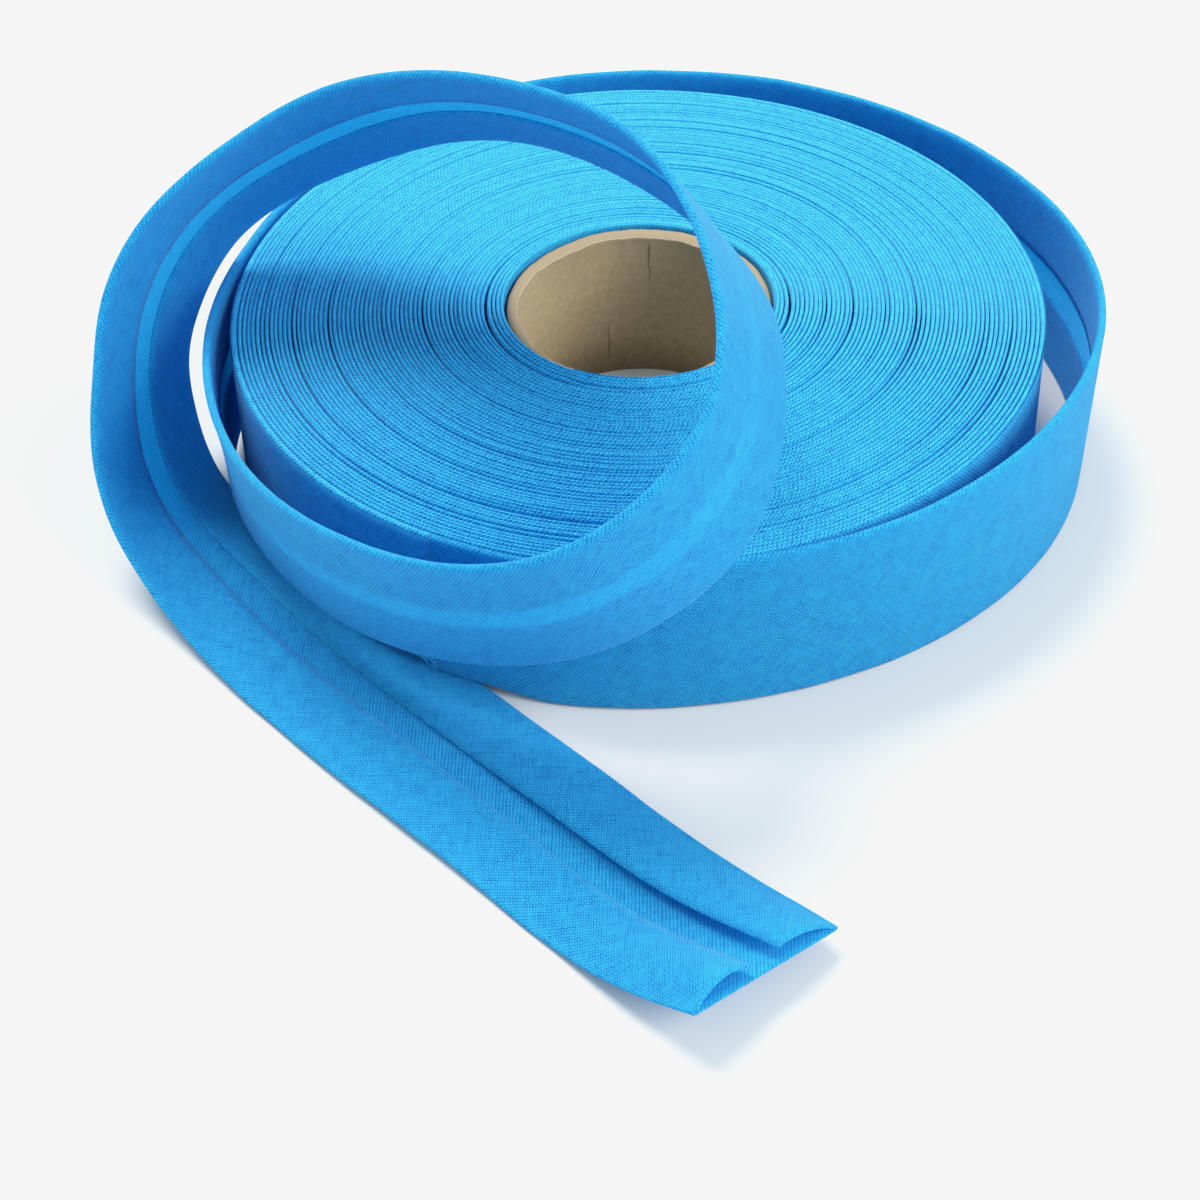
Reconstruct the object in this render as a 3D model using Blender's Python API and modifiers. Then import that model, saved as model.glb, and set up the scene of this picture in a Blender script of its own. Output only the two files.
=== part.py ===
"""A roll of folded bias binding on a cardboard core.

The roll lies flat on a table with its axis upright. Its outermost turn has come loose: it stands
round the roll on its edge, rises across the front, loops over the top like a hoop, comes down at
the left and lies on the table, its cut end a little lifted. The origin is on the table, under the
middle of the whole.
"""

import math

import bmesh
import bpy
import numpy as np

MM = 0.001

# The tape: bias-cut cotton with both long edges folded in, 25 mm wide when folded
TAPE_WIDTH = 25.0 * MM
FLAP_GAP = 4.2 * MM
LAYER = 0.45 * MM
LAYER_PITCH = 0.9 * MM
TAPE_DEPTH = LAYER_PITCH + LAYER
CLEARANCE = 0.3 * MM

# The roll's axis, from the origin under the middle of the whole
AXIS_X = 5.0 * MM
AXIS_Y = 26.5 * MM

# The winding: a spiral of pressed turns round a slightly oval hole
LEAVING_BEARING = -80.0
STEP_ARC = 1.2
INNER_RIM_RADIUS = 57.2 * MM
ROLL_STEP = TAPE_DEPTH + CLEARANCE
HOLE_HALF_WIDTH = 19.5 * MM
HOLE_HALF_DEPTH = 19.0 * MM
HOLE_Y = 0.65 * MM
WINDING_STATIONS = 96
TOP_RIDGES = 6
RIDGE_HEIGHT = 0.25 * MM
RIM_ROUNDING = 0.35 * MM
LOOSE_TURNS = 2.2 * MM
PARTING_DEPTH = 1.2 * MM
PARTING_HALF_WIDTH = 0.35 * MM
PARTING_LIP = 1.05 * MM

# The hollow pressed into the winding's underside, where the tail is tucked beneath it
TUCK_FROM = -184.0
TUCK_TO = -98.0
TUCK_RAMP = 12.0
TUCK_REACH = 8.6 * MM
TUCK_SLOPE = 1.4 * MM
TUCK_HEIGHT = 1.9 * MM

# The cardboard core
CORE_HALF_WIDTH = 19.1 * MM
CORE_HALF_DEPTH = 18.6 * MM
CORE_WALL = 2.1 * MM
CORE_CHAMFER = 0.4 * MM
CORE_STEPS = 72

# The loose end's route: the middle of the tape in mm from the roll's axis and the table, and how far
# its upper edge leans out, in degrees: 0 stands on edge, 90 lies flat with the folded side up
ROUTE = (
    # x, y, height, lean
    # stands round the front, right, back and left of the roll
    (10.9, -57.45, 12.5, 0),
    (36.5, -47.8, 12.5, 0),
    (57.0, -27.5, 12.5, 0),
    (65.8, 0.0, 12.5, 3),
    (60.0, 27.5, 12.5, 2),
    (42.0, 50.0, 12.5, 0),
    (14.5, 62.5, 12.5, 0),
    (-17.0, 61.0, 12.5, 0),
    (-42.5, 45.0, 12.5, 0),
    (-57.2, 17.8, 12.5, 0),
    # leans out and rises across the front, over its own tail
    (-60.0, -12.0, 15.5, 2),
    (-51.0, -39.0, 17.5, 13),
    (-32.0, -60.0, 21.0, 19),
    (-6.5, -69.0, 29.0, 19),
    (11.0, -60.5, 41.5, -3),
    # loops over the roll
    (13.0, -39.5, 54.5, -29),
    (3.0, -19.5, 58.5, -33),
    (-12.5, -5.5, 58.5, -39),
    (-32.0, 5.5, 53.5, -41),
    (-48.0, 8.0, 46.0, -35),
    (-62.5, 3.0, 37.0, -27),
    # comes down at the left
    (-70.0, -3.0, 26.0, -4),
    (-71.5, -9.5, 15.5, 27),
    (-69.5, -16.5, 8.0, 51),
    (-58.5, -31.5, 2.0, 80),
    # lies on the table, tucked under the roll's edge, and ends a little lifted
    (-45.0, -47.5, 0.7, 90),
    (-29.0, -64.5, 0.7, 90),
    (-13.0, -81.0, 0.7, 90),
    (1.5, -96.0, 1.2, 90),
    (14.8, -109.0, 5.5, 80),
)
ROUTE_STATIONS = 150

# The two flaps stand open towards the cut end
FLARE_LENGTH = 75.0 * MM
FLAP_LIFT = 1.1 * MM
FLAP_ARCH = 1.0 * MM
FOLD_STEPS = 3
FLAP_STEPS = 2
BASE_STEPS = 5

TAPE_BLUE = (0.022, 0.33, 0.82, 1.0)
CARDBOARD = (0.36, 0.29, 0.19, 1.0)
SHARP_ANGLE = 40.0


def make_material(name, colour, roughness):
    """A plain surface of one colour."""
    material = bpy.data.materials.new(name)
    material.use_nodes = True
    shader = material.node_tree.nodes["Principled BSDF"]
    shader.inputs["Base Color"].default_value = colour
    shader.inputs["Roughness"].default_value = roughness
    shader.inputs["Metallic"].default_value = 0.0
    return material


def add_piece(name, mesh, material, collection, parent):
    """Put a finished mesh in the collection as one named piece, shaded smooth."""
    piece = bpy.data.objects.new(name, mesh)
    mesh.materials.append(material)
    mesh.shade_smooth()
    mesh.set_sharp_from_angle(angle=math.radians(SHARP_ANGLE))
    piece.parent = parent
    collection.objects.link(piece)
    return piece


def grid_mesh(name, rows, closed_rows, closed_columns):
    """A mesh of quads through a grid of points, row by row."""
    build = bmesh.new()
    verts = [[build.verts.new(point) for point in row] for row in rows]
    row_count = len(verts)
    column_count = len(verts[0])
    for i in range(row_count if closed_rows else row_count - 1):
        here = verts[i]
        after = verts[(i + 1) % row_count]
        for j in range(column_count if closed_columns else column_count - 1):
            k = (j + 1) % column_count
            build.faces.new((here[j], after[j], after[k], here[k]))
    mesh = bpy.data.meshes.new(name)
    build.to_mesh(mesh)
    build.free()
    return mesh


def smooth_rows(rows, count):
    """Points evenly along a natural cubic spline through every column of the rows."""
    knots = np.array(rows, float)
    last = len(knots) - 1
    spans = np.linalg.norm(np.diff(knots[:, :3], axis=0), axis=1)
    places = np.concatenate([[0.0], np.cumsum(spans)])
    matrix = np.eye(last + 1)
    right = np.zeros_like(knots)
    for i in range(1, last):
        matrix[i, i - 1 : i + 2] = spans[i - 1], 2 * (spans[i - 1] + spans[i]), spans[i]
        after = (knots[i + 1] - knots[i]) / spans[i]
        before = (knots[i] - knots[i - 1]) / spans[i - 1]
        right[i] = 6 * (after - before)
    bends = np.linalg.solve(matrix, right)
    at = np.linspace(0.0, places[-1], count)
    i = np.clip(np.searchsorted(places, at, side="right") - 1, 0, last - 1)
    span = spans[i][:, None]
    u = (at - places[i])[:, None]
    v = span - u
    curved = (bends[i] * v**3 + bends[i + 1] * u**3) / (6 * span)
    straight = (knots[i] / span - bends[i] * span / 6) * v
    return curved + straight + (knots[i + 1] / span - bends[i + 1] * span / 6) * u


def smooth_step(value):
    """0 below 0, 1 above 1, with soft ends between."""
    value = min(max(value, 0.0), 1.0)
    return value * value * (3.0 - 2.0 * value)


def rim_radius(turned):
    """The winding's outer radius, at an angle in degrees past the point where the tape leaves."""
    return INNER_RIM_RADIUS + ROLL_STEP * turned / (360.0 - STEP_ARC)


def tuck_rise(turned):
    """How far the underside is pushed up at an angle past the leaving point, by the tail beneath."""
    bearing = LEAVING_BEARING + turned - 360.0
    rising = smooth_step((bearing - TUCK_FROM) / TUCK_RAMP)
    falling = smooth_step((TUCK_TO - bearing) / TUCK_RAMP)
    return TUCK_HEIGHT * rising * falling


def winding_section(turned):
    """The winding's closed outline at one angle, as (part of the way from hole to rim, height)."""
    angle = math.radians(LEAVING_BEARING + turned)
    hole = hole_point(angle)
    rim = rim_point(angle, turned)
    width = math.hypot(rim[0] - hole[0], rim[1] - hole[1])
    parting = LOOSE_TURNS / width
    half = PARTING_HALF_WIDTH / width
    rounding = RIM_ROUNDING / width
    top = TAPE_WIDTH
    outline = [(0.0, 0.0), (0.0, top - RIM_ROUNDING), (rounding, top)]
    outline.append((parting - half, top))
    outline.append((parting, top - PARTING_DEPTH))
    outline.append((parting + half, top))
    first = parting + PARTING_LIP / width
    steps = 2 * TOP_RIDGES
    for i in range(steps):
        share = first + (1.0 - rounding - first) * i / steps
        outline.append((share, top - RIDGE_HEIGHT * (i % 2)))
    rise = tuck_rise(turned)
    outline.append((1.0 - rounding, top))
    outline.append((1.0, top - RIM_ROUNDING))
    outline.append((1.0, rise))
    outline.append((1.0 - (TUCK_REACH - TUCK_SLOPE) / width, rise))
    outline.append((1.0 - TUCK_REACH / width, 0.0))
    return hole, rim, outline


def hole_point(angle):
    """A point on the oval wall of the winding's hole."""
    return HOLE_HALF_WIDTH * math.cos(angle), HOLE_Y + HOLE_HALF_DEPTH * math.sin(angle)


def rim_point(angle, turned):
    """A point on the winding's outer face."""
    radius = rim_radius(turned)
    return radius * math.cos(angle), radius * math.sin(angle)


def build_winding():
    """The wound roll: one ring whose outer face runs out in a spiral to where the tape leaves."""
    rows = []
    turns = [i * (360.0 - STEP_ARC) / (WINDING_STATIONS - 1) for i in range(WINDING_STATIONS)]
    for turned in turns:
        hole, rim, outline = winding_section(turned)
        row = []
        for share, height in outline:
            x = hole[0] + (rim[0] - hole[0]) * share
            y = hole[1] + (rim[1] - hole[1]) * share
            row.append((x, y, height))
        rows.append(row)
    # The last section comes first, so that the faces look out
    rows.reverse()
    return grid_mesh("winding", rows, closed_rows=True, closed_columns=True)


def build_core_profile():
    """The core's wall in section, turned round the axis by a Screw modifier."""
    inner = CORE_HALF_WIDTH - CORE_WALL
    outer = CORE_HALF_WIDTH
    outline = (
        (outer, TAPE_WIDTH),
        (outer, 0.0),
        (inner, 0.0),
        (inner, TAPE_WIDTH - CORE_CHAMFER),
        (inner + CORE_CHAMFER, TAPE_WIDTH),
    )
    mesh = bpy.data.meshes.new("core")
    edges = [(i, (i + 1) % len(outline)) for i in range(len(outline))]
    mesh.from_pydata([(radius, 0.0, height) for radius, height in outline], edges, [])
    return mesh


def tape_section(opening):
    """The folded cloth's mid-line across the tape, as (across, depth) from the tape's middle.

    It runs from one flap's free edge round the fold, along the back and round the other fold.
    opening goes from 0, pressed flat, to 1, with the flaps standing open at the cut end.
    """
    bend = LAYER_PITCH / 2
    edge = TAPE_WIDTH / 2 - LAYER / 2 - bend
    free = FLAP_GAP / 2
    half = []
    for i in range(FLAP_STEPS):
        share = i / FLAP_STEPS
        lift = opening * (1.0 - share) * (FLAP_LIFT + FLAP_ARCH * 4 * share)
        half.append((free + (edge - free) * share, bend + lift))
    for i in range(FOLD_STEPS + 1):
        turn = math.pi * i / FOLD_STEPS
        half.append((edge + bend * math.sin(turn), bend * math.cos(turn)))
    back = [(edge - 2 * edge * i / BASE_STEPS, -bend) for i in range(1, BASE_STEPS)]
    other = [(-across, depth) for across, depth in reversed(half)]
    return half + back + other


def build_loose_end():
    """The loose tape: its folded section carried along the route as one open sheet."""
    route = smooth_rows(ROUTE, ROUTE_STATIONS)
    middles = route[:, :3] * MM
    tangents = np.gradient(middles, axis=0)
    tangents /= np.linalg.norm(tangents, axis=1)[:, None]
    lengths = np.linalg.norm(np.diff(middles, axis=0), axis=1)
    left = lengths.sum() - np.concatenate([[0.0], np.cumsum(lengths)])
    rows = []
    for middle, tangent, lean, to_end in zip(middles, tangents, np.radians(route[:, 3]), left):
        out = np.cross(tangent, (0.0, 0.0, 1.0))
        out /= np.linalg.norm(out)
        upper = np.cross(out, tangent)
        across = math.cos(lean) * upper + math.sin(lean) * out
        inner = np.cross(across, tangent)
        opening = smooth_step(1.0 - to_end / FLARE_LENGTH)
        row = []
        for side, depth in tape_section(opening):
            back = middle + across * side - inner * LAYER_PITCH / 2
            point = middle + across * side + inner * depth
            point[2] += max(LAYER / 2 - back[2], 0.0)
            row.append(point)
        rows.append(row)
    return grid_mesh("loose_end", rows, closed_rows=False, closed_columns=False)


for leftover in list(bpy.data.objects):
    bpy.data.objects.remove(leftover)

collection = bpy.data.collections.new("bias_binding_roll")
bpy.context.scene.collection.children.link(collection)
axis = bpy.data.objects.new("roll_axis", None)
axis.location = (AXIS_X, AXIS_Y, 0.0)
collection.objects.link(axis)

cloth = make_material("blue cotton", TAPE_BLUE, 0.9)
board = make_material("grey-brown cardboard", CARDBOARD, 0.95)

winding = add_piece("winding", build_winding(), cloth, collection, axis)

core = add_piece("core", build_core_profile(), board, collection, axis)
core.location = (0.0, HOLE_Y, 0.0)
core.scale = (1.0, CORE_HALF_DEPTH / CORE_HALF_WIDTH, 1.0)
turning = core.modifiers.new("turned wall", "SCREW")
turning.steps = CORE_STEPS
turning.render_steps = CORE_STEPS
turning.use_merge_vertices = True
turning.merge_threshold = 0.00001

loose_end = add_piece("loose_end", build_loose_end(), cloth, collection, axis)
thickness = loose_end.modifiers.new("cloth thickness", "SOLIDIFY")
thickness.thickness = LAYER
thickness.offset = 0.0
thickness.use_even_offset = True
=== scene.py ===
"""A roll of folded bias binding on a cardboard core, its loose end looped over it.

Everything is in metres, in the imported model's frame: the table is at height 0.
"""

import math

import bpy
import numpy as np
from mathutils import Matrix, Vector


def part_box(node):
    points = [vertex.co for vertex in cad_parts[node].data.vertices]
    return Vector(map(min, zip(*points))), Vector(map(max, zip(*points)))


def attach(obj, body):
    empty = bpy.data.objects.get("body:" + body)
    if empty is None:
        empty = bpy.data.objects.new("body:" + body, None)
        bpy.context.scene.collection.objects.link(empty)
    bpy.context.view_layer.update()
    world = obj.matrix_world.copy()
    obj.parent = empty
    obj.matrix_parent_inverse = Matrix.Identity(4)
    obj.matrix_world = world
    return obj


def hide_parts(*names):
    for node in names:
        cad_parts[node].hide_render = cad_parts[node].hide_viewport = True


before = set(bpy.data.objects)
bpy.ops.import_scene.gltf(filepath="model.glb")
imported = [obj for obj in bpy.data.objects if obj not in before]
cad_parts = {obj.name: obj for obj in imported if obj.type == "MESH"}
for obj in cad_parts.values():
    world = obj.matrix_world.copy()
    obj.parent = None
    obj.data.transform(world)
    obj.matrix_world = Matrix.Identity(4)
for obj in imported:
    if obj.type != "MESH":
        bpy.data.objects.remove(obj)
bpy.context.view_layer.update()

# The table, the light and the camera
# The roll lies on a pale matt table. A broad soft light comes from behind on the left and a second
# one from the right, and the camera looks down at about 42 degrees.

MM = 0.001
HOLE_Y = 0.65 * MM

core_low, core_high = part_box("core")
roll_axis = Vector((
    (core_low.x + core_high.x) / 2,
    (core_low.y + core_high.y) / 2 - HOLE_Y,
    0.0,
))

CAMERA_FROM_AXIS = Vector((1.45 * MM, -318.2 * MM, 250.14 * MM))
CAMERA_YAW = 1.458
CAMERA_TILT = 41.616
CAMERA_ROLL = -1.432
CAMERA_LENS = 80.8
CAMERA_SENSOR = 36.0
CAMERA_NEAR = 10.0 * MM

camera_data = bpy.data.cameras.new("camera")
camera_data.lens = CAMERA_LENS
camera_data.sensor_width = CAMERA_SENSOR
camera_data.clip_start = CAMERA_NEAR
camera = bpy.data.objects.new("camera", camera_data)
camera.matrix_world = (
    Matrix.Translation(roll_axis + CAMERA_FROM_AXIS)
    @ Matrix.Rotation(math.radians(CAMERA_YAW), 4, "Z")
    @ Matrix.Rotation(math.radians(90.0 - CAMERA_TILT), 4, "X")
    @ Matrix.Rotation(math.radians(CAMERA_ROLL), 4, "Z")
)
bpy.context.collection.objects.link(camera)
bpy.context.scene.camera = camera

TABLE_HALF = 8.0
TABLE_DROP = 0.1 * MM
PAPER_WHITE = 0.915
TABLE_WHITE = (0.72, 0.73, 0.735, 1.0)
DAYLIGHT = (1.0, 0.93, 0.90)
ROOM_COLOUR = (0.74, 0.96, 1.0, 1.0)
ROOM_STRENGTH = 0.7

table_mesh = bpy.data.meshes.new("table")
table_mesh.from_pydata(
    [
        (-TABLE_HALF, -TABLE_HALF, -TABLE_DROP),
        (TABLE_HALF, -TABLE_HALF, -TABLE_DROP),
        (TABLE_HALF, TABLE_HALF, -TABLE_DROP),
        (-TABLE_HALF, TABLE_HALF, -TABLE_DROP),
    ],
    [],
    [(0, 1, 2, 3)],
)
table = bpy.data.objects.new("table", table_mesh)
table_paint = bpy.data.materials.new("pale matt table")
table_paint.use_nodes = True
table_shader = table_paint.node_tree.nodes["Principled BSDF"]
table_shader.inputs["Base Color"].default_value = TABLE_WHITE
table_shader.inputs["Roughness"].default_value = 1.0
table_shader.inputs["Specular IOR Level"].default_value = 0.0
table_mesh.materials.append(table_paint)
bpy.context.collection.objects.link(table)


def soft_light(name, place, spread, strength, tint):
    """Even light from far off, coming from a place's direction through a wide angle."""
    lamp = bpy.data.lights.new(name, "SUN")
    lamp.angle = math.radians(spread)
    lamp.energy = strength
    lamp.color = tint
    light = bpy.data.objects.new(name, lamp)
    light.location = place
    light.rotation_euler = Vector(place).to_track_quat("Z", "Y").to_euler()
    bpy.context.collection.objects.link(light)


soft_light("window light", place=(-0.7, 1.1, 1.9), spread=32.0, strength=3.45, tint=DAYLIGHT)
soft_light("room light", place=(2.0, -0.65, 1.35), spread=40.0, strength=2.85, tint=DAYLIGHT)

sky = bpy.data.worlds.new("pale room")
sky.use_nodes = True
sky.node_tree.nodes["Background"].inputs["Color"].default_value = ROOM_COLOUR
sky.node_tree.nodes["Background"].inputs["Strength"].default_value = ROOM_STRENGTH
bpy.context.scene.world = sky

# Above the bend, the tones ease towards the table's pale grey, so that it doesn't burn out
BRIGHTNESS_CURVE = 3
BEND = 0.8
tone = bpy.context.scene.view_settings
tone.view_transform = "Standard"
tone.use_curve_mapping = True
tone.curve_mapping.extend = "HORIZONTAL"
brightness = tone.curve_mapping.curves[BRIGHTNESS_CURVE]
brightness.points[1].location = (1.0, PAPER_WHITE)
brightness.points.new(BEND, BEND)
tone.curve_mapping.update()

# The core
# It is a spiral-wound tube of grey-brown board, 38 mm across. Its walls are plies of paper
# glued edge to edge, so fine seams climb the inside, and the sawn rim is worn and a little torn.

TAPE_WIDTH = 25.0 * MM
CORE_HALF_WIDTH = 19.1 * MM
CORE_HALF_DEPTH = 18.6 * MM
CORE_WALL = 2.1 * MM
CORE_AROUND = 240
CORE_TOP = 23.9 * MM
BOARD_DARK = (0.295, 0.232, 0.142, 1.0)
BOARD_PALE = (0.365, 0.292, 0.183, 1.0)
BOARD_SPECK = (0.16, 0.12, 0.07, 1.0)
BOARD_FLECK = (0.70, 0.61, 0.45, 1.0)
BOARD_SEAM = (0.12, 0.09, 0.055, 1.0)
BOARD_RIM = (0.285, 0.216, 0.137, 1.0)
BOARD_TORN = (0.50, 0.43, 0.34, 1.0)
RIM_SAWN = 0.15 * MM
RIM_TORN = 0.45 * MM
RIM_TORN_BEARING = 65.0
RIM_TORN_WAVES = 0.22 * MM
RIM_TILT = 0.55 * MM
RIM_TILT_BEARING = 60.0
RIM_WAVES = 0.12 * MM
BOARD_RELIEF = 0.12 * MM
SEAM_WANDER = 1.2
SEAM_HALF_WIDTHS = (0.08, 0.22)
SEAM_DARKNESS = 0.75
BOARD_SEAMS = (
    # place round the tube, from and to along its section, in mm
    (28.3, 27.0, 34.0),
    (35.4, 41.0, 47.0),
)


def sheet_mesh(name, points, flat, close_round=False):
    """Quads through a grid of points, with the flat place of each point in mm as its UV."""
    rows, columns = points.shape[:2]
    if close_round:
        points = np.concatenate([points, points[:1]])
        flat = np.concatenate([flat, flat[-1:] + (flat[-1:] - flat[-2:-1])])
        rows += 1
    index = np.arange(rows * columns).reshape(rows, columns)
    corners = np.stack(
        [index[:-1, :-1], index[1:, :-1], index[1:, 1:], index[:-1, 1:]], axis=-1
    ).reshape(-1, 4)
    mesh = bpy.data.meshes.new(name)
    mesh.from_pydata(points.reshape(-1, 3).tolist(), [], corners.tolist())
    layer = mesh.uv_layers.new(name="flat")
    layer.data.foreach_set("uv", flat.reshape(-1, 2)[corners.ravel()].astype(np.float32).ravel())
    mesh.shade_smooth()
    return mesh


def add_piece(name, mesh, material, slot, *nodes):
    """Put a finished mesh in the scene as one piece of the roll, standing for CAD nodes."""
    piece = bpy.data.objects.new(name, mesh)
    mesh.materials.append(material)
    bpy.context.collection.objects.link(piece)
    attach(piece, "root")
    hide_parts(*nodes)
    return piece


WAVE_FADE = 0.5
WAVE_SUM = 2.2


def waves(at, seed, shortest, longest, count=5):
    """A smooth uneven curve between about -1 and 1, from a few sine waves of random phase."""
    chance = np.random.default_rng(seed)
    total = np.zeros_like(at)
    for i in range(count):
        length = longest * (shortest / longest) ** (i / max(count - 1, 1))
        total += np.sin(2 * math.pi * (at / length + chance.random())) / (1 + WAVE_FADE * i)
    return total / WAVE_SUM


def figures(material):
    """What adds a math node to a material, fed by numbers or sockets, and returns its result."""
    nodes = material.node_tree.nodes
    links = material.node_tree.links

    def figure(operation, *values):
        node = nodes.new("ShaderNodeMath")
        node.operation = operation
        for socket, value in zip(node.inputs, values):
            if isinstance(value, (int, float)):
                socket.default_value = value
            else:
                links.new(value, socket)
        return node.outputs["Value"]

    return figure


def raw_board(name):
    """Grey-brown board: mottled pulp, dark and pale specks, and two short open ply seams."""
    material = bpy.data.materials.new(name)
    material.use_nodes = True
    nodes = material.node_tree.nodes
    links = material.node_tree.links
    shader = nodes["Principled BSDF"]
    shader.inputs["Roughness"].default_value = 0.9
    shader.inputs["Specular IOR Level"].default_value = 0.2
    flat = nodes.new("ShaderNodeUVMap")
    flat.uv_map = "flat"
    figure = figures(material)

    def cloud(scale, detail):
        noise = nodes.new("ShaderNodeTexNoise")
        noise.inputs["Scale"].default_value = scale
        noise.inputs["Detail"].default_value = detail
        links.new(flat.outputs["UV"], noise.inputs["Vector"])
        return noise.outputs["Fac"]

    def band(value, low, high, start, end):
        ramp = nodes.new("ShaderNodeMapRange")
        ramp.interpolation_type = "SMOOTHSTEP"
        for limit, number in zip(("From Min", "From Max", "To Min", "To Max"), (low, high, start, end)):
            ramp.inputs[limit].default_value = number
        links.new(value, ramp.inputs["Value"])
        return ramp.outputs["Result"]

    def tint(factor, under, over):
        mix = nodes.new("ShaderNodeMix")
        mix.data_type = "RGBA"
        links.new(factor, mix.inputs["Factor"])
        links.new(under, mix.inputs["A"])
        mix.inputs["B"].default_value = over
        return mix.outputs["Result"]

    mottle = cloud(scale=0.9, detail=8.0)
    pulp = nodes.new("ShaderNodeValToRGB")
    pulp.color_ramp.elements[0].position = 0.28
    pulp.color_ramp.elements[0].color = BOARD_DARK
    pulp.color_ramp.elements[1].position = 0.72
    pulp.color_ramp.elements[1].color = BOARD_PALE
    links.new(mottle, pulp.inputs["Fac"])
    fibres = cloud(scale=5.0, detail=2.0)
    specks = band(fibres, low=0.65, high=0.71, start=0.0, end=0.6)
    colour = tint(specks, pulp.outputs["Color"], BOARD_SPECK)
    flecks = band(cloud(scale=3.1, detail=1.0), low=0.68, high=0.73, start=0.0, end=0.5)
    colour = tint(flecks, colour, BOARD_FLECK)
    place = nodes.new("ShaderNodeSeparateXYZ")
    links.new(flat.outputs["UV"], place.inputs["Vector"])
    for seam_at, seam_low, seam_high in BOARD_SEAMS:
        wander = figure("SUBTRACT", cloud(scale=0.8, detail=3.0), 0.5)
        wander = figure("MULTIPLY", wander, SEAM_WANDER)
        away = figure("ABSOLUTE", figure("SUBTRACT", figure("ADD", place.outputs["X"], wander), seam_at))
        line = band(away, *SEAM_HALF_WIDTHS, start=SEAM_DARKNESS, end=0.0)
        above = band(place.outputs["Y"], seam_low - 0.6, seam_low + 0.6, 0.0, 1.0)
        below = band(place.outputs["Y"], seam_high - 2.0, seam_high + 1.0, 1.0, 0.0)
        colour = tint(figure("MULTIPLY", line, figure("MULTIPLY", above, below)), colour, BOARD_SEAM)
    worn = nodes.new("ShaderNodeAttribute")
    worn.attribute_name = "worn"
    ragged = figure("MULTIPLY", figure("SUBTRACT", cloud(scale=1.6, detail=5.0), 0.5), 0.8)
    ragged = figure("ADD", worn.outputs["Fac"], ragged)
    colour = tint(band(ragged, low=0.42, high=0.58, start=0.0, end=1.0), colour, BOARD_RIM)
    colour = tint(band(ragged, low=1.62, high=2.1, start=0.0, end=0.8), colour, BOARD_TORN)
    links.new(colour, shader.inputs["Base Color"])
    bump = nodes.new("ShaderNodeBump")
    bump.inputs["Strength"].default_value = 0.35
    bump.inputs["Distance"].default_value = BOARD_RELIEF
    links.new(figure("ADD", mottle, figure("MULTIPLY", fibres, 0.4)), bump.inputs["Height"])
    links.new(bump.outputs["Normal"], shader.inputs["Normal"])
    return material


def core_mesh():
    """The tube's wall in section, carried round an oval, with a torn and sunken upper rim."""
    angles = np.linspace(0.0, 2 * math.pi, CORE_AROUND, endpoint=False)
    around = angles * CORE_HALF_WIDTH / MM
    level = np.zeros_like(angles)
    torn = CORE_WALL - RIM_SAWN + RIM_TORN * np.cos(angles - math.radians(RIM_TORN_BEARING))
    torn += RIM_TORN_WAVES * waves(around, seed=3, shortest=4, longest=38)
    top = CORE_TOP + RIM_TILT * np.cos(angles - math.radians(RIM_TILT_BEARING))
    top += RIM_WAVES * waves(around, seed=4, shortest=2, longest=25)
    sections = (
        # how far in from the outer face, the height, and the rim's wear: 1 sawn, 2 torn to pale fibre
        (level, level, 0.0),
        (level, top - 0.4 * MM, 0.5),
        (level + 0.2 * MM, top, 1.0),
        (torn * 0.5, top + 0.05 * MM, 1.0),
        (torn * 0.8, top - 0.05 * MM, 1.1),
        (torn * 0.92, top - 0.14 * MM, 2.0),
        (torn, top - 0.3 * MM, 1.0),
        (torn * 0.8 + CORE_WALL * 0.2, top - 0.6 * MM, 0.2),
        (level + CORE_WALL, top - 1.6 * MM, 0.0),
        (level + CORE_WALL, 0.6 * top, 0.0),
        (level + CORE_WALL, 0.3 * top, 0.0),
        (level + CORE_WALL, level, 0.0),
        (level, level, 0.0),
    )
    rings = []
    flats = []
    inwards_length = 0.0
    for inwards, height, _ in sections:
        x = (CORE_HALF_WIDTH - inwards) * np.cos(angles)
        y = (CORE_HALF_DEPTH - inwards) * np.sin(angles)
        ring = np.stack([x, y, height], axis=-1)
        if rings:
            inwards_length += float(np.linalg.norm(ring - rings[-1], axis=1).mean()) / MM
        rings.append(ring)
        flats.append(np.stack([around, level + inwards_length], axis=-1))
    points = np.stack(rings, axis=1)[::-1] + np.array([roll_axis.x, roll_axis.y + HOLE_Y, 0.0])
    mesh = sheet_mesh("core", points, np.stack(flats, axis=1)[::-1], close_round=True)
    worn = mesh.attributes.new("worn", "FLOAT", "POINT")
    by_ring = [shown for _, _, shown in sections]
    worn.data.foreach_set("value", np.tile(by_ring, CORE_AROUND + 1).astype(np.float32))
    return mesh


add_piece("cardboard_core", core_mesh(), raw_board("raw board"), "core_board", "core")

# The winding
# Some sixty turns of the folded cotton tape are wound round the core, each showing its soft upper
# fold. They stand a little uneven, a few innermost ones have parted from the rest, and the
# underside is pressed up where the tail runs beneath.

HOLE_HALF_WIDTH = 19.5 * MM
HOLE_HALF_DEPTH = 19.0 * MM
PARTING_RADIUS = 21.6 * MM
PARTING_GAP = 0.36 * MM
PRESSED_RADIUS = 57.75 * MM
OUTER_RADIUS = 58.9 * MM
LEAVING_BEARING = -118.0
TURNS = 60
PARTED_TURNS = 4
PARTING_TURN = 0.02
TOP_STATIONS = 240
UNDER_STATIONS = 120
OUTER_STATIONS = 361
OUTER_HEIGHTS = 12
INNER_STATIONS = 241
INNER_HEIGHTS = 6
TURN_THICKNESS = 0.64 * MM
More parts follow.
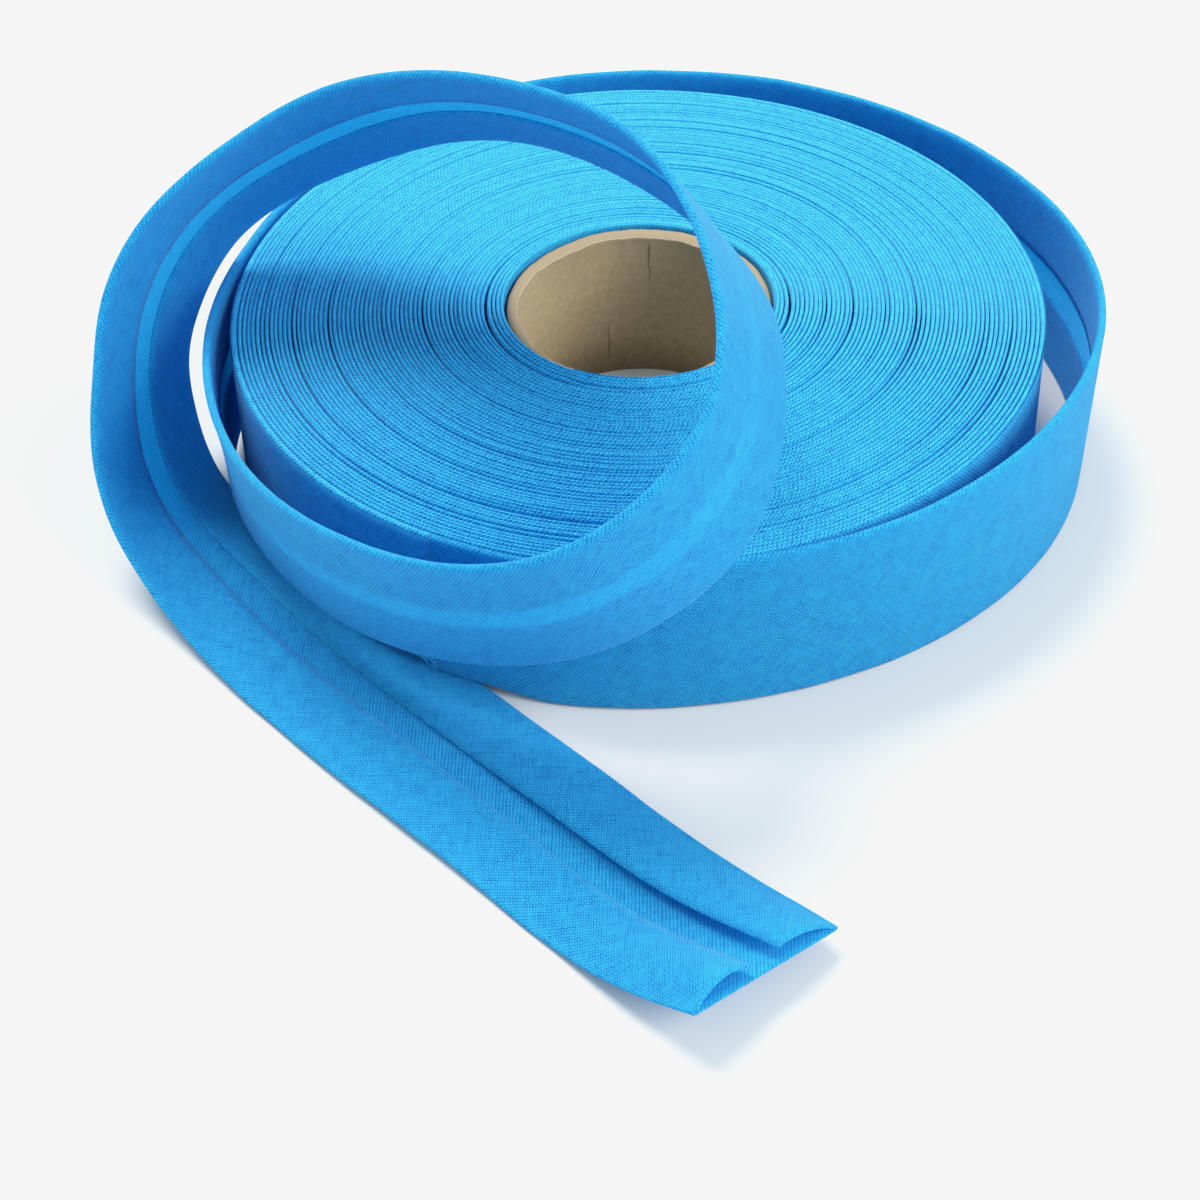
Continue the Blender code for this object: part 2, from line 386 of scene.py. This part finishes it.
# The share of a turn's thickness that is air: everywhere, and more where the turns stand apart.
# The FRONT values are what the front of the roll has on top of that.
AIR = 0.02
AIR_FRONT = 0.14
APART_AIR = 0.08
APART_AIR_FRONT = 0.12
APART_BY_TURN = 1.1
APART_MOST = 1.4
FRONT_MIDDLE = 0.45
FRONT_SLOPE = 0.9
TURN_SWAY = 0.03 * MM
CREST_DROP = 0.2 * MM
CREST_WAVES = 0.10 * MM
CREST_BY_TURN = 0.14 * MM
FOLD_DEPTH = 0.45
FOLD_DEPTH_FRONT = 0.8
UPPER_FOLD = (
    # share of the turn's thickness, depth below its crest in mm
    (0.0, 1.5),
    (0.04, 0.30),
    (0.2, 0.07),
    (0.5, 0.0),
    (0.8, 0.07),
    (0.96, 0.30),
    (1.0, 1.5),
)
LOWER_FOLD = (
    (0.0, 0.9),
    (0.25, 0.1),
    (0.5, 0.0),
    (0.75, 0.1),
    (1.0, 0.9),
)
WALL_INSET = 0.5 * MM
TUCK_FROM = -184.0
TUCK_TO = -98.0
TUCK_RAMP = 12.0
TUCK_REACH = 8.6 * MM
TUCK_SLOPE = 1.4 * MM
TUCK_HEIGHT = 1.9 * MM

WARP_PITCH = 0.47
WEFT_PITCH = 0.33
WEAVE_DRIFT = 0.5
WEAVE_RELIEF = 0.10 * MM
CROSSING_BLEND = 0.3
CROWN_SHARE = 0.35
PILLOW_SHARE = 0.75
THREAD_SHARE = 0.52
OVER_SHARE = 0.16
STREAK_SHARE = 0.32
STREAK_STRETCH = 0.45
# The colour ramp below is painted shade in the weave's hollows and under-threads, mixed with real uneven
# streaks. Its dark end is that painted shade.
SHADE_AND_STREAK_FROM = 0.40
SHADE_AND_STREAK_TO = 0.82
CLOTH_BLUE = (0.036, 0.54, 0.96, 1.0)
CLOTH_SHADE_AND_STREAK = (0.002, 0.075, 0.36, 1.0)
CLOTH_BACKLIT = (0.09, 0.68, 1.0, 1.0)


def bias_cotton(name, light_through):
    """Plain-weave cotton with its threads at 45 degrees to the tape's length, and painted shade in the
    hollows between its threads.
    """
    material = bpy.data.materials.new(name)
    material.use_nodes = True
    nodes = material.node_tree.nodes
    links = material.node_tree.links
    shader = nodes["Principled BSDF"]
    shader.inputs["Roughness"].default_value = 0.85
    shader.inputs["Specular IOR Level"].default_value = 0.2
    shader.inputs["Sheen Weight"].default_value = 0.25
    shader.inputs["Sheen Roughness"].default_value = 0.45
    shader.inputs["Sheen Tint"].default_value = (0.45, 0.80, 1.0, 1.0)

    figure = figures(material)
    flat = nodes.new("ShaderNodeUVMap")
    flat.uv_map = "flat"
    place = nodes.new("ShaderNodeSeparateXYZ")
    links.new(flat.outputs["UV"], place.inputs["Vector"])
    wander = nodes.new("ShaderNodeTexNoise")
    wander.inputs["Scale"].default_value = 0.9
    wander.inputs["Detail"].default_value = 3.0
    links.new(flat.outputs["UV"], wander.inputs["Vector"])
    drift = figure("MULTIPLY", wander.outputs["Fac"], WEAVE_DRIFT)
    along = figure("ADD", place.outputs["X"], drift)
    across = place.outputs["Y"]
    warp_rate = math.pi / (math.sqrt(2) * WARP_PITCH)
    weft_rate = math.pi / (math.sqrt(2) * WEFT_PITCH)
    warp = figure("SINE", figure("MULTIPLY", figure("ADD", along, across), warp_rate))
    weft = figure("SINE", figure("MULTIPLY", figure("SUBTRACT", along, across), weft_rate))
    crossing = nodes.new("ShaderNodeMapRange")
    crossing.inputs["From Min"].default_value = -CROSSING_BLEND
    crossing.inputs["From Max"].default_value = CROSSING_BLEND
    links.new(figure("MULTIPLY", warp, weft), crossing.inputs["Value"])
    over = crossing.outputs["Result"]
    under = figure("SUBTRACT", 1.0, over)
    crown = figure(
        "ADD",
        figure("MULTIPLY", over, figure("ABSOLUTE", warp)),
        figure("MULTIPLY", under, figure("ABSOLUTE", weft)),
    )
    pillow = figure("ABSOLUTE", figure("MULTIPLY", warp, weft))
    thread = figure("ADD", figure("MULTIPLY", crown, CROWN_SHARE), figure("MULTIPLY", pillow, PILLOW_SHARE))

    def streaks(across_threads, pitch, along_threads):
        spot = nodes.new("ShaderNodeCombineXYZ")
        links.new(figure("MULTIPLY", across_threads, 1.0 / pitch), spot.inputs["X"])
        links.new(figure("MULTIPLY", along_threads, STREAK_STRETCH), spot.inputs["Y"])
        noise = nodes.new("ShaderNodeTexNoise")
        noise.inputs["Scale"].default_value = 0.7
        noise.inputs["Detail"].default_value = 2.0
        links.new(spot.outputs["Vector"], noise.inputs["Vector"])
        return noise.outputs["Fac"]

    one_way = figure("MULTIPLY", figure("ADD", along, across), math.sqrt(0.5))
    other_way = figure("MULTIPLY", figure("SUBTRACT", along, across), math.sqrt(0.5))
    uneven = figure("ADD", streaks(one_way, WARP_PITCH, other_way), streaks(other_way, WEFT_PITCH, one_way))
    raised = figure("ADD", figure("MULTIPLY", thread, THREAD_SHARE), figure("MULTIPLY", over, OVER_SHARE))
    depth = figure("ADD", raised, figure("MULTIPLY", uneven, STREAK_SHARE))
    # Painted shade: the colour darkens where the threads sink, between the crowns and under the crossings.
    # The streaks add real uneven tone.
    hollow_shade_and_streaks = nodes.new("ShaderNodeValToRGB")
    hollow_shade_and_streaks.color_ramp.elements[0].position = SHADE_AND_STREAK_FROM
    hollow_shade_and_streaks.color_ramp.elements[0].color = CLOTH_SHADE_AND_STREAK
    hollow_shade_and_streaks.color_ramp.elements[1].position = SHADE_AND_STREAK_TO
    hollow_shade_and_streaks.color_ramp.elements[1].color = CLOTH_BLUE
    links.new(depth, hollow_shade_and_streaks.inputs["Fac"])
    links.new(hollow_shade_and_streaks.outputs["Color"], shader.inputs["Base Color"])
    bump = nodes.new("ShaderNodeBump")
    bump.inputs["Strength"].default_value = 0.8
    bump.inputs["Distance"].default_value = WEAVE_RELIEF
    links.new(depth, bump.inputs["Height"])
    links.new(bump.outputs["Normal"], shader.inputs["Normal"])
    through = nodes.new("ShaderNodeBsdfTranslucent")
    through.inputs["Color"].default_value = CLOTH_BACKLIT
    thin = nodes.new("ShaderNodeMixShader")
    thin.inputs["Fac"].default_value = light_through
    links.new(shader.outputs["BSDF"], thin.inputs[1])
    links.new(through.outputs["BSDF"], thin.inputs[2])
    links.new(thin.outputs["Shader"], nodes["Material Output"].inputs["Surface"])
    return material


def turn_radius(turn):
    """How far out the tape's inner face is after that many turns, as a radius on the round side."""
    parted = PARTING_RADIUS - PARTING_GAP / 2
    return np.interp(
        turn,
        [0.0, 1.0, PARTED_TURNS, PARTED_TURNS + PARTING_TURN, TURNS, TURNS + 1.0],
        [HOLE_HALF_WIDTH, HOLE_HALF_WIDTH, parted, parted + PARTING_GAP, PRESSED_RADIUS, OUTER_RADIUS],
    )


def turn_place(turn, outwards):
    """A point of the winding seen from above, at a turn count and a distance out from the turn."""
    angle = np.radians(LEAVING_BEARING) + 2 * math.pi * turn
    radius = turn_radius(turn) + outwards
    inside = np.clip((OUTER_RADIUS - radius) / (OUTER_RADIUS - HOLE_HALF_WIDTH), 0.0, 1.0)
    flattened = (HOLE_HALF_WIDTH - HOLE_HALF_DEPTH) * inside
    x = radius * np.cos(angle)
    y = (radius - flattened) * np.sin(angle) + HOLE_Y * inside
    return x, y


def smooth_step(value):
    """0 below 0, 1 above 1, with soft ends between."""
    value = np.clip(value, 0.0, 1.0)
    return value * value * (3.0 - 2.0 * value)


def tuck_rise(turn, radius):
    """How far the underside is pushed up by the tail beneath, at a turn count and a radius."""
    bearing = LEAVING_BEARING + 360.0 * (turn % 1.0) - 360.0
    rising = smooth_step((bearing - TUCK_FROM) / TUCK_RAMP)
    falling = smooth_step((TUCK_TO - bearing) / TUCK_RAMP)
    rim = OUTER_RADIUS - (OUTER_RADIUS - PRESSED_RADIUS) * (1.0 - turn % 1.0)
    inwards = smooth_step((radius - (rim - TUCK_REACH)) / TUCK_SLOPE)
    return TUCK_HEIGHT * rising * falling * inwards


def fold_ribbon(name, stations, fold, underside):
    """The folded edge of every turn, as one long rounded ribbon that follows the spiral."""
    turn = np.linspace(0.0, TURNS, TURNS * stations + 1)
    length = 2 * math.pi * np.concatenate([[0.0], np.cumsum(turn_radius(turn)[1:] * np.diff(turn))]) / MM
    room = turn_radius(turn + 1.0) - turn_radius(turn)
    apart = waves(length, seed=14, shortest=25.0, longest=500.0, count=6)
    apart += APART_BY_TURN * waves(turn, seed=15, shortest=1.3, longest=7.0, count=6)
    front = smooth_step(FRONT_MIDDLE - FRONT_SLOPE * np.sin(np.radians(LEAVING_BEARING) + 2 * math.pi * turn))
    apart_air = (APART_AIR + APART_AIR_FRONT * front) * np.clip(apart, 0.0, APART_MOST) ** 2
    air = AIR + AIR_FRONT * front + apart_air
    thick = np.where(turn > TURNS - 1, room, np.minimum(room, TURN_THICKNESS)) * (1.0 - air)
    sway = TURN_SWAY * waves(length, seed=13, shortest=20.0, longest=300.0, count=5)
    crest = CREST_WAVES * waves(length, seed=11, shortest=30.0, longest=900.0, count=7)
    crest = TAPE_WIDTH - CREST_DROP + crest
    crest += CREST_BY_TURN * waves(turn, seed=12, shortest=1.4, longest=9.0, count=6)
    rows = []
    flats = []
    flat_across = 0.0
    for i, (share, depth) in enumerate(fold):
        if i:
            flat_across += math.hypot((share - fold[i - 1][0]) * TURN_THICKNESS / MM, depth - fold[i - 1][1])
        outwards = thick * share + sway
        x, y = turn_place(turn, outwards)
        if underside:
            z = tuck_rise(turn, turn_radius(turn) + outwards) + depth * MM
        else:
            z = crest - depth * (FOLD_DEPTH + FOLD_DEPTH_FRONT * front) * MM
        rows.append(np.stack([x, y, z], axis=-1))
        flats.append(np.stack([length, 0 * length + flat_across], axis=-1))
    points = np.stack(rows, axis=1) + np.array([roll_axis.x, roll_axis.y, 0.0])
    flat = np.stack(flats, axis=1)
    if underside:
        return sheet_mesh(name, points, flat)
    return sheet_mesh(name, points[::-1], flat[::-1])


def standing_face(name, turn, heights):
    """A standing face of the winding, from just above the table to just under the upper folds."""
    x, y = turn_place(turn, 0.0)
    length = 2 * math.pi * turn_radius(turn).mean() * (turn - turn[0]) / MM
    bottom = tuck_rise(turn, turn_radius(turn)) + WALL_INSET
    rows = []
    flats = []
    for share in np.linspace(0.0, 1.0, heights):
        z = bottom + (TAPE_WIDTH - WALL_INSET - bottom) * share
        rows.append(np.stack([x, y, z], axis=-1))
        flats.append(np.stack([length, z / MM], axis=-1))
    points = np.stack(rows, axis=1) + np.array([roll_axis.x, roll_axis.y, 0.0])
    return sheet_mesh(name, points, np.stack(flats, axis=1))


cloth = bias_cotton("sky blue cotton", light_through=0.03)
thin_cloth = bias_cotton("thin sky blue cotton", light_through=0.40)
face_cloth = bias_cotton("sky blue cotton of the outer turn", light_through=0.22)

outer_turn = np.linspace(TURNS, TURNS + 1.0, OUTER_STATIONS)
inner_turn = np.linspace(1.0, 0.0, INNER_STATIONS)
winding_meshes = (
    ("wound_turns_upper_folds", fold_ribbon("upper folds", TOP_STATIONS, UPPER_FOLD, False)),
    ("wound_turns_lower_folds", fold_ribbon("lower folds", UNDER_STATIONS, LOWER_FOLD, True)),
    ("wound_turns_outer_face", standing_face("outer face", outer_turn, OUTER_HEIGHTS)),
    ("wound_turns_inner_face", standing_face("inner face", inner_turn, INNER_HEIGHTS)),
)
for piece_name, piece_mesh in winding_meshes:
    piece_cloth = cloth if piece_name.endswith("folds") else face_cloth
    add_piece(piece_name, piece_mesh, piece_cloth, "tape_cloth", "winding")

# The loose end
# The outermost turn has sprung loose: a strip of cotton 45.8 mm wide, both long edges pressed in
# to near the middle. It stands round the roll on its edge, loops over it, comes down at the left
# and lies on the table, its raw cut end a little open.

FLAP_GAP = 4.2 * MM
CLOTH_THICKNESS = 0.32 * MM
LAYER_PITCH = 0.8 * MM
ROUTE = (
    # the tape's middle in mm from the roll's axis and the table, and its upper edge's lean outwards
    # in degrees: 0 stands on edge, 90 lies flat
    # leaves the roll's front, then stands round the right, the back and the left of it
    (-27.4, -51.5, 12.5, 0),
    (-17.1, -55.9, 12.5, 0),
    (-6.1, -58.15, 12.5, 0),
    (10.9, -57.45, 12.5, 0),
    (36.5, -47.8, 12.5, 0),
    (57.0, -27.5, 12.5, 0),
    (65.8, 0.0, 12.5, 3),
    (60.0, 27.5, 12.5, 2),
    (42.0, 50.0, 12.5, 0),
    (14.5, 62.5, 12.5, 0),
    (-17.0, 61.0, 12.5, 0),
    (-42.5, 45.0, 12.5, 0),
    (-57.2, 17.8, 12.5, 0),
    # leans out and rises across the front, over its own tail
    (-60.0, -12.0, 15.5, 2),
    (-51.0, -39.0, 17.5, 13),
    (-32.0, -60.0, 21.0, 19),
    (-6.5, -69.0, 29.0, 19),
    (11.0, -60.5, 41.5, -3),
    # loops over the roll
    (13.0, -39.5, 54.5, -29),
    (3.0, -19.5, 58.5, -33),
    (-12.5, -5.5, 58.5, -39),
    (-32.0, 5.5, 53.5, -41),
    (-47.5, 8.0, 46.0, -35),
    (-62.0, 3.5, 37.5, -27),
    # comes down at the left
    (-70.0, -3.0, 26.0, -5),
    (-71.5, -9.5, 15.5, 27),
    (-69.5, -16.5, 8.0, 51),
    (-58.5, -31.5, 2.0, 80),
    # lies on the table, tucked under the roll's edge, and ends a little lifted
    (-45.0, -47.5, 0.7, 90),
    (-29.0, -64.5, 0.7, 90),
    (-13.0, -81.0, 0.7, 90),
    (1.5, -96.0, 1.2, 90),
    (14.8, -109.0, 5.5, 80),
)
ROUTE_STATIONS = 640
FLAP_LIFTS = {"left": 1.2 * MM, "right": 1.9 * MM}
FLAP_ARCHES = {"left": 1.7 * MM, "right": 0.9 * MM}
FLARES = {"left": 42.0 * MM, "right": 74.0 * MM}
TAIL_FLATTENED = 0.54
TAIL_LENGTH = 130.0 * MM
PRESSED_BY_TAIL = 1.1 * MM
TAIL_LEAVES = 101.0
TAIL_EASES = 9.0
FOLD_STEPS = 6
FLAP_STEPS = 8
BASE_STEPS = 16
TAIL_RAMP = 30.0 * MM
START_LENGTH = 60.0 * MM
FLARE_POWER = 1.4
FLAP_SETTLED = 0.9
FLAP_RIPPLE = 0.04 * MM
EDGE_WAVER = 0.15 * MM
EDGE_SEEDS = {"left": 21, "right": 22}
RIPPLE_SEEDS = {"left": 26, "right": 27}


def smooth_rows(rows, count):
    """Points evenly along a natural cubic spline through every column of the rows."""
    knots = np.array(rows, float)
    last = len(knots) - 1
    spans = np.linalg.norm(np.diff(knots[:, :3], axis=0), axis=1)
    places = np.concatenate([[0.0], np.cumsum(spans)])
    matrix = np.eye(last + 1)
    right = np.zeros_like(knots)
    for i in range(1, last):
        matrix[i, i - 1 : i + 2] = spans[i - 1], 2 * (spans[i - 1] + spans[i]), spans[i]
        after = (knots[i + 1] - knots[i]) / spans[i]
        before = (knots[i] - knots[i - 1]) / spans[i - 1]
        right[i] = 6 * (after - before)
    bends = np.linalg.solve(matrix, right)
    at = np.linspace(0.0, places[-1], count)
    i = np.clip(np.searchsorted(places, at, side="right") - 1, 0, last - 1)
    span = spans[i][:, None]
    u = (at - places[i])[:, None]
    v = span - u
    curved = (bends[i] * v**3 + bends[i + 1] * u**3) / (6 * span)
    straight = (knots[i] / span - bends[i] * span / 6) * v
    return curved + straight + (knots[i + 1] / span - bends[i + 1] * span / 6) * u


def tape_section():
    """The folded strip's mid-line, as across, depth, and how far out along its flap a point is."""
    bend = LAYER_PITCH / 2
    edge = TAPE_WIDTH / 2 - CLOTH_THICKNESS / 2 - bend
    free = FLAP_GAP / 2
    half = []
    for i in range(FLAP_STEPS):
        share = i / FLAP_STEPS
        half.append((free + (edge - free) * share, bend, 1.0 - share))
    for i in range(FOLD_STEPS + 1):
        turn = math.pi * i / FOLD_STEPS
        half.append((edge + bend * math.sin(turn), bend * math.cos(turn), 0.0))
    back = [(edge - 2 * edge * i / BASE_STEPS, -bend, 0.0) for i in range(1, BASE_STEPS)]
    other = [(-across, depth, share) for across, depth, share in reversed(half)]
    return half + back + other


def loose_tape_mesh():
    """The folded section carried along the route as one open strip."""
    route = smooth_rows(ROUTE, ROUTE_STATIONS)
    middles = route[:, :3] * MM
    tangents = np.gradient(middles, axis=0)
    tangents /= np.linalg.norm(tangents, axis=1)[:, None]
    steps = np.linalg.norm(np.diff(middles, axis=0), axis=1)
    along = np.concatenate([[0.0], np.cumsum(steps)])
    to_end = along[-1] - along
    out = np.cross(tangents, (0.0, 0.0, 1.0))
    out /= np.linalg.norm(out, axis=1)[:, None]
    upper = np.cross(out, tangents)
    lean = np.radians(route[:, 3])[:, None]
    across = np.cos(lean) * upper + np.sin(lean) * out
    inner = np.cross(across, tangents)
    bearing = -np.degrees(np.arctan2(middles[:, 1], middles[:, 0]))
    flattened = 1.0 - TAIL_FLATTENED * smooth_step((TAIL_LENGTH - to_end) / TAIL_RAMP)
    spare = LAYER_PITCH * flattened - CLOTH_THICKNESS
    over_tail = smooth_step((bearing - TAIL_LEAVES) / TAIL_EASES) * (along < START_LENGTH)
    rows = []
    flats = []
    section = tape_section()
    flat_across = 0.0
    for i, (side, depth, free) in enumerate(section):
        if i:
            before = section[i - 1]
            flat_across += math.hypot(side - before[0], depth - before[1]) / MM
        hand = "left" if side > 0 else "right"
        waver = EDGE_WAVER * waves(along / MM, EDGE_SEEDS[hand], shortest=11.0, longest=90.0)
        waver *= (2 * abs(side) / TAPE_WIDTH) ** 2
        opening = smooth_step(1.0 - to_end / FLARES[hand]) ** FLARE_POWER
        lift = free * (FLAP_LIFTS[hand] + FLAP_ARCHES[hand] * 4 * (1.0 - free)) * opening
        settled = spare * FLAP_SETTLED * smooth_step(free * 2.0) * (1.0 - opening)
        ripple = waves(along / MM, RIPPLE_SEEDS[hand], shortest=9.0, longest=60.0)
        lift = lift - settled + FLAP_RIPPLE * free * (1.0 + ripple)
        back = middles + across * side - inner * (LAYER_PITCH / 2 * flattened)[:, None]
        point = middles + across * (side + math.copysign(1.0, side) * waver)[:, None]
        point = point + inner * (depth * flattened + lift)[:, None]
        point[:, 2] += np.maximum(CLOTH_THICKNESS / 2 - back[:, 2], 0.0)
        point[:, 2] += PRESSED_BY_TAIL * over_tail * (1.0 - point[:, 2] / TAPE_WIDTH)
        rows.append(point)
        flats.append(np.stack([along / MM, 0 * along + flat_across], axis=-1))
    points = np.stack(rows, axis=1) + np.array([roll_axis.x, roll_axis.y, 0.0])
    return sheet_mesh("loose tape", points, np.stack(flats, axis=1))


loose_tape = add_piece("loose_tape", loose_tape_mesh(), thin_cloth, "tape_cloth", "loose_end")
cloth_body = loose_tape.modifiers.new("cloth thickness", "SOLIDIFY")
cloth_body.thickness = CLOTH_THICKNESS
cloth_body.offset = 0.0
cloth_body.use_even_offset = True
